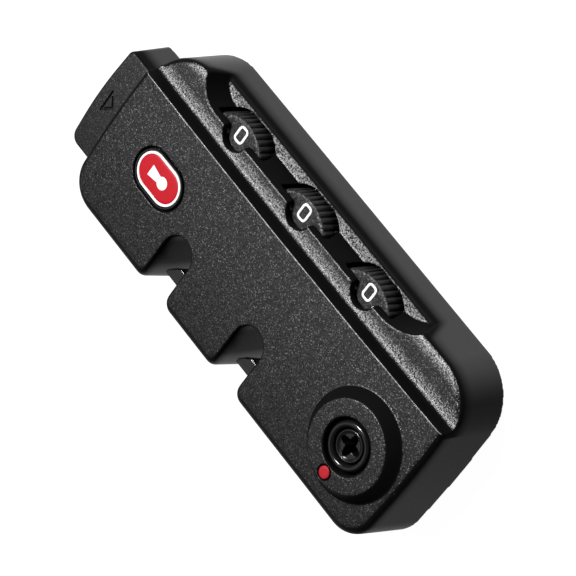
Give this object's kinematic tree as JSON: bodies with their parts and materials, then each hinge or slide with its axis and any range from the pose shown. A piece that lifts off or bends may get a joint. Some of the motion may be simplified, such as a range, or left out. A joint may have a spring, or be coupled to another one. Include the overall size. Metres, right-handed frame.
{
  "type": "luggage combination lock",
  "caption": "Flat luggage zip lock with three number dials, a push slider with two hooks, two open notches for zip pulls and a round key cylinder",
  "frame": {"origin": "bottom centre of the whole lock, on the back cover's plane", "axes": "+Z is the front face's normal, +X points to the key end, +Y to the dial side"},
  "size_m": [0.0798, 0.0324, 0.0146],
  "materials": {
    "shell": "fine textured black",
    "cover": "satin black",
    "plates": "dark plated",
    "steel": "bright",
    "dials": "fine textured black",
    "code_wheels": "natural acetal",
    "cylinder": "glossy black",
    "badge": "glossy red",
    "inserts": "turned brass"
  },
  "bodies": {
    "housing": {"front_housing": "shell", "back_cover": "cover", "detent_spring": "steel", "key_sleeve": "cylinder", "dial_post_1": "steel", "dial_post_2": "steel", "dial_post_3": "steel", "badge": "badge", "index_dot": "badge", "cover_screw_1": "steel", "cover_screw_2": "steel", "cover_screw_3": "steel", "cover_screw_4": "steel", "mount_insert_1": "inserts", "mount_insert_2": "inserts", "mount_insert_3": "inserts", "slider_spring": "steel", "reset_spring": "steel"},
    "slider": {"slider_button": "cover", "slider_base_plate": "plates", "latch_plate": "plates", "spring_guide_pin": "steel"},
    "fence": {"fence_bar": "plates"},
    "dial_1": {"dial_wheel_1": "dials", "code_wheel_1": "code_wheels"},
    "dial_2": {"dial_wheel_2": "dials", "code_wheel_2": "code_wheels"},
    "dial_3": {"dial_wheel_3": "dials", "code_wheel_3": "code_wheels"},
    "key": {"key_plug": "cylinder", "key_cam": "plates", "cam_clip": "steel"},
    "reset": {"reset_button": "code_wheels"}
  },
  "joints": [
    {"name": "slider_push", "type": "slide", "parent": "housing", "child": "slider", "axis": [1, 0, 0], "range_m": [0, 0.004], "stiffness_N_per_m": 400, "springref_m": -0.004, "deforming": ["slider_spring"]},
    {"name": "fence_slide", "type": "slide", "parent": "housing", "child": "fence", "axis": [0, 1, 0], "range_m": [0, 0.0006]},
    {"name": "dial_1_turn", "type": "hinge", "parent": "housing", "child": "dial_1", "pos_m": [-0.01705, 0.00775, 0.006], "axis": [0, 0, 1], "continuous": true},
    {"name": "dial_2_turn", "type": "hinge", "parent": "housing", "child": "dial_2", "pos_m": [-0.0011, 0.00775, 0.006], "axis": [0, 0, 1], "continuous": true},
    {"name": "dial_3_turn", "type": "hinge", "parent": "housing", "child": "dial_3", "pos_m": [0.01485, 0.00775, 0.006], "axis": [0, 0, 1], "continuous": true},
    {"name": "key_turn", "type": "hinge", "parent": "housing", "child": "key", "pos_m": [0.02975, -0.00317, 0.008], "axis": [0, 0, 1], "range_deg": [0, 90]},
    {"name": "reset_push", "type": "slide", "parent": "housing", "child": "reset", "axis": [0, 0, 1], "range_m": [0, 0.0008], "stiffness_N_per_m": 500, "springref_m": -0.001, "deforming": ["reset_spring"]}
  ],
  "couplings": [
    {"joint": "fence_slide", "follows": "slider_push", "ratio": 0.15}
  ]
}
